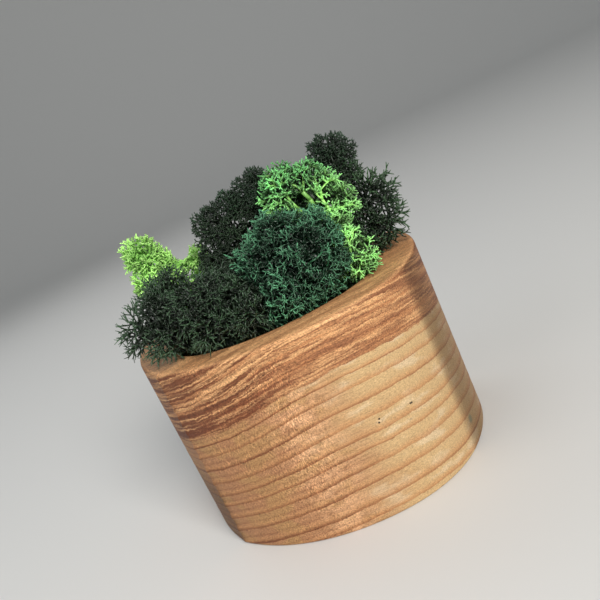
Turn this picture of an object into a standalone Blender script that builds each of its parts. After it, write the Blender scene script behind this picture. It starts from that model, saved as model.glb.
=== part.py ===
"""A moss planter: a carved oval block of wood whose pocket holds a foam bed and tufts of reindeer moss.

Metres, +Z up. The origin is the middle of the block's flat base, and the front face looks towards -Y.
"""

import math
import random

import bmesh
import bpy
import numpy as np
from mathutils import Matrix, Vector
from mathutils.bvhtree import BVHTree

MM = 0.001
GAP = 0.3 * MM

# Wooden block
BLOCK_WIDTH = 109.8 * MM
BLOCK_HEIGHT = 70 * MM
# The plan is a chain of tangent arcs: (radius in mm, direction in degrees that the wall faces where it ends).
# The two arcs without a radius are worked out so that the chain closes.
PLAN_START = -99.0
PLAN_ARCS = (
    (65.0, -81.0),
    (42.0, -41.0),
    (17.0, -38.0),
    (63.0, 8.5),
    (14.0, 61.5),
    (None, 106.5),
    (9.0, 169.0),
    (79.0, 208.5),
    (2.5, 219.5),
    (None, 261.0),
)
PLAN_STEP = 6.0
TOP_ROUND = 1.4 * MM
BASE_ROUND = 1.0 * MM
POCKET_CENTRE = (0.5 * MM, -0.5 * MM)
POCKET_HALF = (39.5 * MM, 31 * MM)
POCKET_FLOOR = 22 * MM
POCKET_LIP = 0.8 * MM
POCKET_CORNER = 3 * MM
SHARP_ANGLE = math.radians(40)

# Foam bed
BED_TOP = 62 * MM
HOLE_RADIUS = 2.35 * MM
HOLE_DEPTH = 16 * MM
HOLE_SIDES = 12

# Moss: every tuft has a dense middle, a ball inside each of its heads, drawn in where a neighbour presses.
STEM_RADIUS = 2.0 * MM
STEM_SIDES = 8
BRANCH_RADIUS = 1.5 * MM
BRANCH_SIDES = 6
SMALL_HEAD = 5.5 * MM
CORE_SHARE = 0.71
CORE_ROUGHNESS = 0.12
CORE_CLEARANCE = 1.2 * MM
CORE_STEP = 0.04
LEAST_CORE = 0.3
VOXEL = 1.5 * MM
FACE_AREA = 8.5 * MM**2
WOOD_CLEARANCE = 0.4 * MM

# Its surface is raised to points and to forked twigs, whose lengths are shares of the head's radius.
LEAST_FACE_HEIGHT = 1.5 * MM
LEAST_TIP = 1.2 * MM
LEAST_FACING = 0.5
TIP_SHARE = (0.88, 0.98)
TIP_LEAN = 0.12
TIP_CLEARANCE = 0.6 * MM
TIP_STEP = 0.1
FORK_PORTION = 0.42
FORK_SHARE = (0.99, 1.08)
WAIST_SHARE = 0.34
WAIST_RADIUS = 0.5 * MM
PRONG_SPREAD = 0.45
SHORT_PRONG = 0.85
LOWERED = 0.7
SEED = 700

# Each tuft is a few rounded heads, (x, y, z, radius) in mm. Its stem stands under the first one, and
# each other head grows on a branch from the nearest head before it.
TUFT_HEADS = {
    "tuft_front_left_black_green": (
        (-23, -12, 75, 9.5),
        (-21, -18, 83.5, 12.5),
        (-34, -15, 82.5, 11.5),
        (-43, -14, 81.5, 8),
        (-10, -22, 80, 9.5),
        (-33, -2, 85.5, 10),
        (-14, -5, 80, 10.5),
        (-19, -23, 77.5, 9),
        (-33, -12, 77, 8.5),
        (-8, -26, 77, 8.5),
    ),
    "tuft_front_teal": (
        (9, -14, 75, 10),
        (7, -23, 80.5, 10.5),
        (16, -21, 85.5, 12.5),
        (11, -17, 92, 10.5),
        (3, -18, 88, 9.5),
        (22, -21, 80, 7.5),
        (5, -5, 86, 10),
        (6, -26.5, 76.5, 8.5),
        (17, -23, 78, 9),
    ),
    "tuft_bright_green": (
        (27, -5, 75, 8),
        (28, -4, 86, 9),
        (28, -3, 94, 8.5),
        (28, -3, 101.5, 10),
        (20, -4, 103.5, 9.8),
        (35.5, -4, 93.5, 6.8),
        (31, -16, 79.5, 6.5),
        (31, -18, 75.5, 6),
        (30, -14, 86.5, 5.5),
    ),
    "tuft_back_left_dark_green": (
        (-8, 8, 74, 10.5),
        (-8, 9, 83, 11),
        (-9, 8, 90, 11),
        (-7, 11, 100.5, 10),
        (-1, 9, 95, 9),
        (6, 8, 93, 9),
        (1, 12, 104.5, 7.8),
        (8, 11, 101.5, 8.5),
        (10, 13, 108, 8),
    ),
    "tuft_top_right_dark_green": (
        (30, 14.5, 73, 8.5),
        (34, 17, 82, 8.5),
        (37, 18, 91, 8.5),
        (42, 19, 98, 7.8),
        (41, 19, 106.5, 9),
    ),
    "tuft_right_dark_green": (
        (35.5, 3, 74, 9),
        (45, 3, 79, 8.5),
        (45.5, 8, 87.5, 10),
        (39, 9, 90, 8),
    ),
    "tuft_back_left_lime": (
        (-26, 14, 73, 9.5),
        (-31, 16, 83, 9),
        (-36, 19, 92, 8),
        (-41, 19, 92, 5),
        (-38, 19, 102, 8.2),
        (-30.5, 20, 94, 6),
        (-21, 20, 93, 5),
        (-21, 20, 80, 9.5),
    ),
    "tuft_back_green": (
        (14, 19, 74, 11),
        (16, 22, 84, 11.5),
        (27, 23, 77, 10),
        (2, 25, 79, 11),
        (-11, 26, 77.5, 10),
        (14, 27, 75, 8.5),
        (17, 22, 95, 9),
        (21, 10, 85, 9),
    ),
}

# Colours, as red, green and blue in linear light
COLOURS = {
    "wooden_block": (0.462, 0.254, 0.117),
    "foam_bed": (0.09, 0.12, 0.06),
    "tuft_front_left_black_green": (0.022, 0.032, 0.018),
    "tuft_front_teal": (0.026, 0.059, 0.03),
    "tuft_bright_green": (0.074, 0.2, 0.052),
    "tuft_back_left_dark_green": (0.02, 0.029, 0.017),
    "tuft_top_right_dark_green": (0.016, 0.024, 0.014),
    "tuft_right_dark_green": (0.017, 0.027, 0.015),
    "tuft_back_left_lime": (0.2, 0.448, 0.109),
    "tuft_back_green": (0.026, 0.05, 0.026),
}
ROUGHNESS = {"wooden_block": 0.6, "foam_bed": 0.95}
MOSS_ROUGHNESS = 0.9


def clear_scene():
    for old in list(bpy.data.objects):
        bpy.data.objects.remove(old, do_unlink=True)


def material(name):
    finish = bpy.data.materials.new(name)
    finish.use_nodes = True
    shader = finish.node_tree.nodes["Principled BSDF"]
    shader.inputs["Base Color"].default_value = (*COLOURS[name], 1.0)
    shader.inputs["Roughness"].default_value = ROUGHNESS.get(name, MOSS_ROUGHNESS)
    return finish


def add_object(name, mesh, collection=None):
    added = bpy.data.objects.new(name, mesh)
    (collection or bpy.context.scene.collection).objects.link(added)
    return added


def mesh_of(name, points, faces):
    mesh = bpy.data.meshes.new(name)
    mesh.from_pydata([tuple(point) for point in points], [], faces)
    mesh.validate()
    return mesh


def facing(degrees):
    """The level direction at this angle, counted from +X."""
    return np.array((math.cos(math.radians(degrees)), math.sin(math.radians(degrees))))


def plan_radii():
    """The arcs as (radius, first angle, last angle), with the two open radii found from closure."""
    ends = [angle for _, angle in PLAN_ARCS]
    starts = [PLAN_START] + ends[:-1]
    steps = [facing(last) - facing(first) for first, last in zip(starts, ends)]
    known = sum(radius * step for (radius, _), step in zip(PLAN_ARCS, steps) if radius)
    open_steps = [step for (radius, _), step in zip(PLAN_ARCS, steps) if not radius]
    found = iter(np.linalg.solve(np.array(open_steps).T, -known))
    radii = [radius or next(found) for radius, _ in PLAN_ARCS]
    return list(zip(radii, starts, ends))


def plan_outline():
    """Points round the block and the direction that the wall faces at each, as two arrays."""
    points = [np.zeros(2)]
    directions = []
    for radius, first, last in plan_radii():
        count = max(2, math.ceil((last - first) / PLAN_STEP))
        for index in range(count):
            here = first + (last - first) * index / count
            after = first + (last - first) * (index + 1) / count
            directions.append(facing(here))
            points.append(points[-1] + radius * (facing(after) - facing(here)))
    points = np.array(points[:-1])
    low, high = points.min(axis=0), points.max(axis=0)
    points = (points - (low + high) / 2) * BLOCK_WIDTH / (high[0] - low[0])
    return points, np.array(directions)


def pocket_ring(points, grow):
    """The pocket's oval, made larger by grow, with a point facing each of the given points."""
    centre = np.array(POCKET_CENTRE)
    half = np.array(POCKET_HALF)
    spread = (points - centre) / half
    unit = spread / np.linalg.norm(spread, axis=1)[:, None]
    return centre + unit * (half + grow)


def stacked_rings(rings):
    """A closed mesh through level rings of the same count, capped at both ends."""
    count = len(rings[0][0])
    points = [(x, y, height) for ring, height in rings for x, y in ring]
    faces = [list(range(count))[::-1]]
    for level in range(len(rings) - 1):
        base = level * count
        for index in range(count):
            after = (index + 1) % count
            faces.append((base + index, base + after, base + count + after, base + count + index))
    faces.append(list(range((len(rings) - 1) * count, len(rings) * count)))
    return points, faces


def quarter_round(radius, steps):
    """Points of a quarter circle: (distance in from the side, distance in from the end)."""
    turns = [math.pi / 2 * index / steps for index in range(steps + 1)]
    return [(radius * (1 - math.sin(turn)), radius * (1 - math.cos(turn))) for turn in turns]


def block_rings(grow=0.0):
    """The block's level rings from the base up the wall, over the rim and down to the pocket's floor.

    A grow above zero thickens the wood on every side, to cut clearance round it.
    """
    outline, directions = plan_outline()
    outline = outline + directions * grow
    rings = []
    for inset, up in quarter_round(BASE_ROUND, 2):
        rings.append((outline - directions * inset, up))
    for inset, down in reversed(quarter_round(TOP_ROUND, 2)):
        rings.append((outline - directions * inset, BLOCK_HEIGHT + grow - down))
    for outset, down in quarter_round(POCKET_LIP, 1):
        rings.append((pocket_ring(outline, outset - grow), BLOCK_HEIGHT + grow - down))
    for inset, up in reversed(quarter_round(POCKET_CORNER, 2)):
        rings.append((pocket_ring(outline, -inset - grow), POCKET_FLOOR + grow + up))
    return rings


def wooden_block():
    """The carved block, smooth round the wall and crisp at the pocket."""
    block = add_object("wooden_block", mesh_of("wooden_block", *stacked_rings(block_rings())))
    block.data.shade_smooth()
    block.data.set_sharp_from_angle(angle=SHARP_ANGLE)
    block.data.materials.append(material("wooden_block"))


def evaluated_mesh(thing):
    return bpy.data.meshes.new_from_object(thing.evaluated_get(bpy.context.evaluated_depsgraph_get()))


def apply_boolean(base, others, operation, solver="MANIFOLD"):
    """Joins or cuts base with every object of a collection in one Boolean, then removes those objects."""
    boolean = base.modifiers.new("join", "BOOLEAN")
    boolean.operation = operation
    boolean.operand_type = "COLLECTION"
    boolean.collection = others
    boolean.solver = solver
    result = evaluated_mesh(base)
    base.modifiers.remove(boolean)
    base.data = result
    for spent in list(others.objects):
        bpy.data.objects.remove(spent, do_unlink=True)
    bpy.data.collections.remove(others)


def new_collection(name):
    collection = bpy.data.collections.new(name)
    bpy.context.scene.collection.children.link(collection)
    return collection


def round_bar(start, end, radius, sides):
    """A straight many-sided bar between two points."""
    start, end = Vector(start), Vector(end)
    turn = (end - start).to_track_quat("Z", "Y").to_matrix().to_4x4()
    shape = bmesh.new()
    bmesh.ops.create_cone(
        shape,
        cap_ends=True,
        segments=sides,
        radius1=radius,
        radius2=radius,
        depth=(end - start).length,
        matrix=Matrix.Translation((start + end) / 2) @ turn,
    )
    mesh = bpy.data.meshes.new("bar")
    shape.to_mesh(mesh)
    shape.free()
    return mesh


def add_cutter(name, mesh, collection):
    cutter = add_object(name, mesh, collection)
    cutter.hide_render = True
    cutter.display_type = "WIRE"


def foam_bed():
    """The foam that fills the pocket, with a plain hole for the stem of each tuft."""
    outline, _ = plan_outline()
    outline = outline[::2]
    rings = []
    for inset, up in quarter_round(POCKET_CORNER, 2):
        rings.append((pocket_ring(outline, -inset - GAP), POCKET_FLOOR + GAP + up))
    rings.append((pocket_ring(outline, -GAP), BED_TOP))
    bed = add_object("foam_bed", mesh_of("foam_bed", *stacked_rings(rings)))
    holes = new_collection("stem_holes")
    for heads in TUFT_HEADS.values():
        x, y = heads[0][0] * MM, heads[0][1] * MM
        bottom, top = (x, y, BED_TOP - HOLE_DEPTH), (x, y, BED_TOP + HOLE_DEPTH)
        add_cutter("stem_hole", round_bar(bottom, top, HOLE_RADIUS, HOLE_SIDES), holes)
    apply_boolean(bed, holes, "DIFFERENCE", "EXACT")
    bed.data.materials.clear()
    bed.data.materials.append(material("foam_bed"))


HEADS = {name: np.array(heads, float) * MM for name, heads in TUFT_HEADS.items()}


def reach(name, point):
    """How far a point lies outside the nearest head of a tuft, negative inside it."""
    heads = HEADS[name]
    return float((np.linalg.norm(heads[:, :3] - np.array(point), axis=1) - heads[:, 3]).min())


def is_free(name, point, clearance):
    """Whether a point belongs to this tuft's own space, clear of its neighbours and above the foam."""
    own = reach(name, point)
    for other in HEADS:
        if other != name and reach(other, point) - own < clearance:
            return False
    if point[2] < BED_TOP + clearance:
        return False
    if point[2] > BLOCK_HEIGHT:
        return True
    offset = (np.array(point[:2]) - np.array(POCKET_CENTRE)) / np.array(POCKET_HALF)
    return float(offset @ offset) < 1.0


def head_core(name, head, draw):
    """The dense middle of a head: a rough ball, drawn in wherever a neighbour presses on it."""
    centre = Vector(head[:3])
    shape = bmesh.new()
    bmesh.ops.create_icosphere(shape, subdivisions=2 if head[3] > SMALL_HEAD else 1, radius=1.0)
    full = CORE_SHARE * head[3]
    for vertex in shape.verts:
        direction = vertex.co.normalized()
        wanted = full * (1 - CORE_ROUGHNESS * draw.random())
        length = wanted
        while length > LEAST_CORE * full:
            if is_free(name, centre + direction * length, CORE_CLEARANCE):
                break
            length -= CORE_STEP * full
        vertex.co = centre + direction * length
    mesh = bpy.data.meshes.new("core")
    shape.to_mesh(mesh)
    shape.free()
    return mesh


def even_out(tuft):
    """Remakes a joined middle with faces of one size, so that the tips on them stand evenly."""
    remesh = tuft.modifiers.new("even", "REMESH")
    remesh.mode = "VOXEL"
    remesh.voxel_size = VOXEL
    fine = evaluated_mesh(tuft)
    area = sum(face.area for face in fine.polygons)
    decimate = tuft.modifiers.new("fewer", "DECIMATE")
    decimate.ratio = area / FACE_AREA / (2 * len(fine.polygons))
    tuft.data = evaluated_mesh(tuft)
    tuft.modifiers.clear()


def face_height(face):
    """The least height of a triangle."""
    longest = max(edge.calc_length() for edge in face.edges)
    return 2 * face.calc_area() / longest


def nearest_heads(name, point):
    """The number of the head that a point is deepest in, and how much deeper it is than in the next."""
    heads = HEADS[name]
    outside = np.linalg.norm(heads[:, :3] - np.array(point), axis=1) - heads[:, 3]
    order = outside.argsort()
    return int(order[0]), float(outside[order[1]] - outside[order[0]])


def tip_over(name, face, shares, draw):
    """Where the tip raised over a face stands, or None where there is no room for it."""
    middle = face.calc_center_median()
    number, _ = nearest_heads(name, middle)
    head = HEADS[name][number]
    centre = Vector(head[:3])
    share = draw.uniform(*shares)
    lean = Vector([draw.uniform(-TIP_LEAN, TIP_LEAN) for _ in range(3)])
    direction = ((middle - centre).normalized() + lean).normalized()
    if face_height(face) < LEAST_FACE_HEIGHT or direction.dot(face.normal) < LEAST_FACING:
        return None
    start = (middle - centre).length
    length = share * head[3]
    while length > start + LEAST_TIP:
        tip = centre + direction * length
        nearest, lead = nearest_heads(name, tip)
        if nearest == number and lead > TIP_CLEARANCE and is_free(name, tip, TIP_CLEARANCE):
            return tip
        length -= TIP_STEP * (share * head[3] - start)
    return None


def point_faces(shape, face, tip):
    """Turns a face into a three-sided point, and gives its new faces."""
    raised = bmesh.ops.poke(shape, faces=[face])
    raised["verts"][0].co = tip
    return raised["faces"]


def fork_faces(shape, face, tip):
    """Turns a face into a twig that narrows to four sides and splits in two, and gives its new faces."""
    middle = face.calc_center_median()
    along = (tip - middle).normalized()
    spoke = face.verts[0].co - middle
    across = (spoke - along * spoke.dot(along)).normalized()
    third = along.cross(across)
    waist_middle = middle.lerp(tip, WAIST_SHARE)
    rise = (tip - waist_middle).length
    corners = ((1, 0), (0, 1), (-1, 0), (0, -1))
    waist = [
        shape.verts.new(waist_middle + (across * u + third * v) * WAIST_RADIUS) for u, v in corners
    ]
    prongs = [
        shape.verts.new(waist_middle + along * rise + third * rise * PRONG_SPREAD),
        shape.verts.new(waist_middle + along * rise * SHORT_PRONG - third * rise * PRONG_SPREAD),
    ]
    first, second, last = face.verts
    shape.faces.remove(face)
    sides = (
        (first, second, waist[1]),
        (first, waist[1], waist[0]),
        (second, last, waist[2]),
        (second, waist[2], waist[1]),
        (last, waist[3], waist[2]),
        (last, first, waist[0]),
        (last, waist[0], waist[3]),
        (waist[0], waist[1], prongs[0]),
        (waist[1], waist[2], prongs[0]),
        (waist[2], waist[0], prongs[0]),
        (waist[2], waist[3], prongs[1]),
        (waist[3], waist[0], prongs[1]),
        (waist[0], waist[2], prongs[1]),
    )
    return [shape.faces.new(corners) for corners in sides]


def crossing_faces(shape):
    """The faces that pass through another face of the same mesh."""
    shape.faces.ensure_lookup_table()
    shape.normal_update()
    tree = BVHTree.FromBMesh(shape)
    pairs = [(shape.faces[one], shape.faces[two]) for one, two in tree.overlap(tree) if one < two]
    return {face for pair in pairs if not set(pair[0].verts) & set(pair[1].verts) for face in pair}


def raise_growth(tuft, draw):
    """Draws every open face of a tuft's middle out to a tip or a forked twig.

    A fork that would cross a neighbour becomes a lower point, and a point that would cross stays flat.
    """
    plain = bmesh.new()
    plain.from_mesh(tuft.data)
    bmesh.ops.triangulate(plain, faces=plain.faces[:])
    plain.normal_update()
    plain.faces.ensure_lookup_table()
    plan = {}
    for number, face in enumerate(plain.faces):
        forked = draw.random() < FORK_PORTION
        tip = tip_over(tuft.name, face, FORK_SHARE if forked else TIP_SHARE, draw)
        if tip:
            plan[number] = (fork_faces if forked else point_faces, tip)
    while True:
        shape = plain.copy()
        shape.faces.ensure_lookup_table()
        source = {}
        for number, face in enumerate(shape.faces[:]):
            if number in plan:
                make, tip = plan[number]
                source.update((new, number) for new in make(shape, face, tip))
        crossing = {source[face] for face in crossing_faces(shape) if face in source}
        if not crossing:
            break
        for number in crossing:
            make, tip = plan.pop(number)
            if make is fork_faces:
                middle = plain.faces[number].calc_center_median()
                plan[number] = (point_faces, middle.lerp(tip, LOWERED))
        shape.free()
    plain.free()
    shape.to_mesh(tuft.data)
    shape.free()


def keep_main_body(mesh):
    """Drops loose scraps and sealed hollows, so that one closed body is left."""
    shape = bmesh.new()
    shape.from_mesh(mesh)
    bmesh.ops.triangulate(shape, faces=shape.faces[:])
    unseen = set(shape.faces)
    bodies = []
    while unseen:
        stack = [unseen.pop()]
        body = set(stack)
        while stack:
            for edge in stack.pop().edges:
                for face in edge.link_faces:
                    if face in unseen:
                        unseen.discard(face)
                        body.add(face)
                        stack.append(face)
        bodies.append(body)
    largest = max(bodies, key=len)
    spare = [face for body in bodies if body is not largest for face in body]
    bmesh.ops.delete(shape, geom=spare, context="FACES")
    loose = [vertex for vertex in shape.verts if not vertex.link_faces]
    bmesh.ops.delete(shape, geom=loose, context="VERTS")
    shape.to_mesh(mesh)
    shape.free()


def tuft_middle(name, draw):
    """The dense middle of a tuft, with a branch to each head from the nearest head before it."""
    heads = HEADS[name]
    tuft = add_object(name, head_core(name, heads[0], draw))
    others = new_collection("heads")
    for index, head in enumerate(heads[1:], start=1):
        add_object("core", head_core(name, head, draw), others)
        gaps = np.linalg.norm(heads[:index, :3] - head[:3], axis=1)
        parent = heads[int(gaps.argmin())]
        add_object("branch", round_bar(parent[:3], head[:3], BRANCH_RADIUS, BRANCH_SIDES), others)
    apply_boolean(tuft, others, "UNION")
    even_out(tuft)
    return tuft


def add_stem(tuft):
    """Joins a stem that reaches from the first head down into its hole in the foam."""
    top = HEADS[tuft.name][0][:3]
    foot = (top[0], top[1], BED_TOP - HOLE_DEPTH + GAP)
    stems = new_collection("stems")
    add_object("stem", round_bar(foot, top, STEM_RADIUS, STEM_SIDES), stems)
    apply_boolean(tuft, stems, "UNION")


def clear_wood(tuft):
    """Cuts away what comes too close to the wood, so that the tuft lies on the rim."""
    grown = new_collection("grown_block")
    add_cutter("grown_block", mesh_of("grown_block", *stacked_rings(block_rings(WOOD_CLEARANCE))), grown)
    apply_boolean(tuft, grown, "DIFFERENCE")


def moss_tuft(name, number):
    draw = random.Random(SEED + number)
    tuft = tuft_middle(name, draw)
    raise_growth(tuft, draw)
    add_stem(tuft)
    clear_wood(tuft)
    keep_main_body(tuft.data)
    tuft.data.materials.clear()
    tuft.data.materials.append(material(name))


def main():
    clear_scene()
    wooden_block()
    foam_bed()
    for number, name in enumerate(TUFT_HEADS):
        moss_tuft(name, number)


main()
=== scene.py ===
# %% [markdown]
# # A moss planter: brushed wood with tufts of reindeer moss
#
# The real object is an oval block carved from a slab, with a pocket in its top. A foam bed fills the
# pocket, and eight tufts of dyed, preserved reindeer moss stand in it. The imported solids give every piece
# its place and size. This script puts the fine surface on them: year rings in the wood, pores in the foam,
# and forked twigs in the moss.

# %% Load the solids
import math

import bpy
import numpy as np
from mathutils import Matrix, Vector, noise


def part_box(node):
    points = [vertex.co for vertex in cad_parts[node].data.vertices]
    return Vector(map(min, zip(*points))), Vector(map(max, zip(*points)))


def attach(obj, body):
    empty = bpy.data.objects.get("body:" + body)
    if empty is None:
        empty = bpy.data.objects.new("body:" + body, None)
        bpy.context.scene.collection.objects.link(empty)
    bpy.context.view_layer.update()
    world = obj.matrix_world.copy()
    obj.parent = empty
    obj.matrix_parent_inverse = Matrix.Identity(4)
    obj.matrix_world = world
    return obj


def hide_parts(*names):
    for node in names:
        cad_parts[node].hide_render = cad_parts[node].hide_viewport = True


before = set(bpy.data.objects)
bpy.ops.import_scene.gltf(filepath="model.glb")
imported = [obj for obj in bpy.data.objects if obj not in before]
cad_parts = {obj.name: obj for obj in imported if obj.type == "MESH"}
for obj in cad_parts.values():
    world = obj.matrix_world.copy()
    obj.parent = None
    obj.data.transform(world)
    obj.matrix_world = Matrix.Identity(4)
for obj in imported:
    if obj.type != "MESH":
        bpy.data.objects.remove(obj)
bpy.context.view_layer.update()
MM = 0.001
print("solids:", sorted(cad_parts))

# %% [markdown]
# ## Camera
#
# The planter is seen from the front and a little above, with the camera rolled to one side, so that the
# block leans to the left in the picture. The camera could be aimed with a tracking constraint, but a roll
# is easier to read when its three axes are written out: forward from the pitch, then right and up turned by
# the roll.

# %% Place the camera
CAMERA_PLACE = Vector((8.37, -249.6, 133.5)) * MM
CAMERA_PITCH = math.radians(15)
CAMERA_ROLL = math.radians(24.97)
LENS = 43.38
SENSOR = 36.0
NEAREST_SEEN = 0.01


def add_object(name, data):
    """A new object in the scene for a mesh, a lamp or a camera."""
    added = bpy.data.objects.new(name, data)
    bpy.context.scene.collection.objects.link(added)
    return added


def camera_axes(pitch, roll):
    """The camera's right, up and back directions, pitched down and rolled."""
    forward = Vector((0, math.cos(pitch), -math.sin(pitch)))
    level_up = Vector((0, math.sin(pitch), math.cos(pitch)))
    level_right = Vector((1, 0, 0))
    right = level_right * math.cos(roll) - level_up * math.sin(roll)
    up = level_right * math.sin(roll) + level_up * math.cos(roll)
    return right, up, -forward


camera = add_object("camera", bpy.data.cameras.new("camera"))
camera.data.lens = LENS
camera.data.sensor_width = SENSOR
camera.data.clip_start = NEAREST_SEEN
camera_turn = Matrix(camera_axes(CAMERA_PITCH, CAMERA_ROLL)).transposed()
camera.matrix_world = Matrix.Translation(CAMERA_PLACE) @ camera_turn.to_4x4()
bpy.context.scene.camera = camera
print("camera at", tuple(round(v, 4) for v in camera.location))

# %% [markdown]
# ## Floor and light
#
# The planter stands on one pale sheet that curves up behind it, so that no line crosses the picture. One
# large lamp in front and to the right is the key, as by a window. A wide lamp at the left, a weak one
# behind and a pale sky fill the shade. Large lamps give the soft edge that the shadow at the foot needs,
# and a weak fill keeps the gaps in the moss dark.

# %% Lay the floor
SHEET_HALF_WIDTH = 3.0
SHEET_FRONT = -3.0
SHEET_BEND = 1.2
BEND_RADIUS = 0.9
SHEET_TOP = 3.0
BEND_STEPS = 24
FLOOR_COLOUR = (0.70, 0.70, 0.685)
FLOOR_ROUGHNESS = 0.6


def new_material(name):
    made = bpy.data.materials.new(name)
    made.use_nodes = True
    return made


def sheet_profile():
    """The sheet seen from the side, as (y, z): level, bent, then upright."""
    turns = [math.pi / 2 * step / BEND_STEPS for step in range(BEND_STEPS + 1)]
    bend = [(SHEET_BEND + BEND_RADIUS * math.sin(turn), BEND_RADIUS * (1 - math.cos(turn))) for turn in turns]
    return [(SHEET_FRONT, 0.0), *bend, (SHEET_BEND + BEND_RADIUS, SHEET_TOP)]


profile = sheet_profile()
sheet_points = [(x, y, z) for y, z in profile for x in (-SHEET_HALF_WIDTH, SHEET_HALF_WIDTH)]
sheet_faces = [(2 * row, 2 * row + 1, 2 * row + 3, 2 * row + 2) for row in range(len(profile) - 1)]
sheet_mesh = bpy.data.meshes.new("floor")
sheet_mesh.from_pydata(sheet_points, [], sheet_faces)
sheet_mesh.shade_smooth()
floor = add_object("floor", sheet_mesh)
floor_finish = new_material("floor_paint")
paint = floor_finish.node_tree.nodes["Principled BSDF"].inputs
paint["Base Color"].default_value = (*FLOOR_COLOUR, 1)
paint["Roughness"].default_value = FLOOR_ROUGHNESS
sheet_mesh.materials.append(floor_finish)

# %% Hang the lamps
SKY_COLOUR = (0.93, 0.97, 1.0)
SKY_STRENGTH = 0.26
LAMPS_AIM = Vector((0, 0, 0.06))
# name, place in m, size in m, power in W, colour
LAMPS = (
    ("key_lamp", (0.32, -0.84, 0.64), 0.42, 10.8, (1.0, 0.97, 0.93)),
    ("fill_lamp", (-0.7, -0.35, 0.5), 0.8, 2.3, (0.97, 0.98, 1.0)),
    ("back_lamp", (-0.35, 0.55, 0.6), 0.6, 1.2, (1.0, 1.0, 1.0)),
)

sky = bpy.data.worlds.new("sky")
sky.use_nodes = True
sky.node_tree.nodes["Background"].inputs["Color"].default_value = (*SKY_COLOUR, 1)
sky.node_tree.nodes["Background"].inputs["Strength"].default_value = SKY_STRENGTH
bpy.context.scene.world = sky
bpy.context.scene.view_settings.view_transform = "Standard"
for name, place, size, power, colour in LAMPS:
    lamp = bpy.data.lights.new(name, "AREA")
    lamp.size = size
    lamp.energy = power
    lamp.color = colour
    stand = add_object(name, lamp)
    stand.location = place
    stand.rotation_euler = (LAMPS_AIM - Vector(place)).to_track_quat("-Z", "Y").to_euler()
print(len(LAMPS), "lamps")

# %% [markdown]
# ## Small helpers for node materials and meshes
#
# Every finish below is built from nodes. A few short functions keep the recipes readable: they add a node,
# do arithmetic, blend two colours or turn a range of values into 0 to 1. The two meshes with smooth walls,
# of the wood and the foam, are stacks of level loops, and share the function that joins them.

# %% Node helpers
class Recipe:
    """The node tree of one material, with short ways to add what a finish needs."""

    def __init__(self, name):
        self.material = new_material(name)
        self.tree = self.material.node_tree
        self.shader = self.tree.nodes["Principled BSDF"]

    def node(self, kind, inputs=(), **settings):
        added = self.tree.nodes.new(kind)
        for key, value in settings.items():
            setattr(added, key, value)
        for socket, value in dict(inputs).items():
            self.feed(added.inputs[socket], value)
        return added

    def feed(self, socket, value):
        if isinstance(value, bpy.types.NodeSocket):
            self.tree.links.new(value, socket)
        elif socket.type == "RGBA":
            socket.default_value = (*value, 1)
        else:
            socket.default_value = value

    def set(self, socket, value):
        """Gives the shader a value, or a link to one."""
        self.feed(self.shader.inputs[socket], value)

    def value(self, attribute):
        return self.node("ShaderNodeAttribute", attribute_name=attribute).outputs["Fac"]

    def math(self, operation, *values):
        made = self.node("ShaderNodeMath", operation=operation)
        for socket, value in zip(made.inputs, values):
            self.feed(socket, value)
        return made.outputs[0]

    def times(self, product, *others):
        for other in others:
            product = self.math("MULTIPLY", product, other)
        return product

    def plus(self, base, value, share=1.0):
        """The base plus a share of the value."""
        return self.math("MULTIPLY_ADD", value, share, base)

    def ramp(self, value, low, high, start=0.0, end=1.0, smooth=True):
        """The value's place between low and high, turned into start to end."""
        kind = "SMOOTHSTEP" if smooth else "LINEAR"
        inputs = {"Value": value, "From Min": low, "From Max": high, "To Min": start, "To Max": end}
        return self.node("ShaderNodeMapRange", inputs, interpolation_type=kind).outputs[0]

    def between(self, share, start, end):
        """From start to end, as the share goes from 0 to 1."""
        return self.ramp(share, 0, 1, start, end)

    def bell(self, value, middle, width):
        """1 where the value is at the middle, falling off to 0 about two widths away."""
        off = self.math("DIVIDE", self.math("SUBTRACT", value, middle), width)
        return self.math("EXPONENT", self.times(off, off, -1.0))

    def blend(self, share, first, second, kind="MIX"):
        made = self.node("ShaderNodeMix", data_type="RGBA", blend_type=kind)
        for socket, value in zip((made.inputs[0], made.inputs[6], made.inputs[7]), (share, first, second)):
            self.feed(socket, value)
        return made.outputs[2]

    def lit(self, colour, light):
        """The colour with its red, green and blue multiplied by one number."""
        grey = self.node("ShaderNodeCombineColor", {0: light, 1: light, 2: light}).outputs[0]
        return self.blend(1.0, colour, grey, "MULTIPLY")

    def stretched(self, scale=(1, 1, 1)):
        """Object coordinates in mm, divided by a length for each axis."""
        place = self.node("ShaderNodeTexCoord").outputs["Object"]
        scale = tuple(1 / (length * MM) for length in scale)
        return self.node("ShaderNodeMapping", {"Vector": place, "Scale": scale}).outputs[0]

    def axes(self):
        return self.node("ShaderNodeSeparateXYZ", {0: self.stretched()}).outputs

    def distance(self, place):
        """How far the surface is from a place, in mm."""
        inputs = {0: self.stretched(), 1: place}
        return self.node("ShaderNodeVectorMath", inputs, operation="DISTANCE").outputs["Value"]

    def noise_at(self, vector, detail=2.0, roughness=0.5):
        inputs = {"Vector": vector, "Scale": 1.0, "Detail": detail, "Roughness": roughness}
        return self.node("ShaderNodeTexNoise", inputs).outputs[0]

    def noise(self, lengths, detail=2.0, roughness=0.5):
        return self.noise_at(self.stretched(lengths), detail, roughness)

    def swing(self, noise):
        """Noise moved to lie round 0."""
        return self.math("SUBTRACT", noise, 0.5)

    def bump(self, height, distance, strength=1.0):
        inputs = {"Height": height, "Distance": distance, "Strength": strength}
        return self.node("ShaderNodeBump", inputs).outputs[0]


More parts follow.
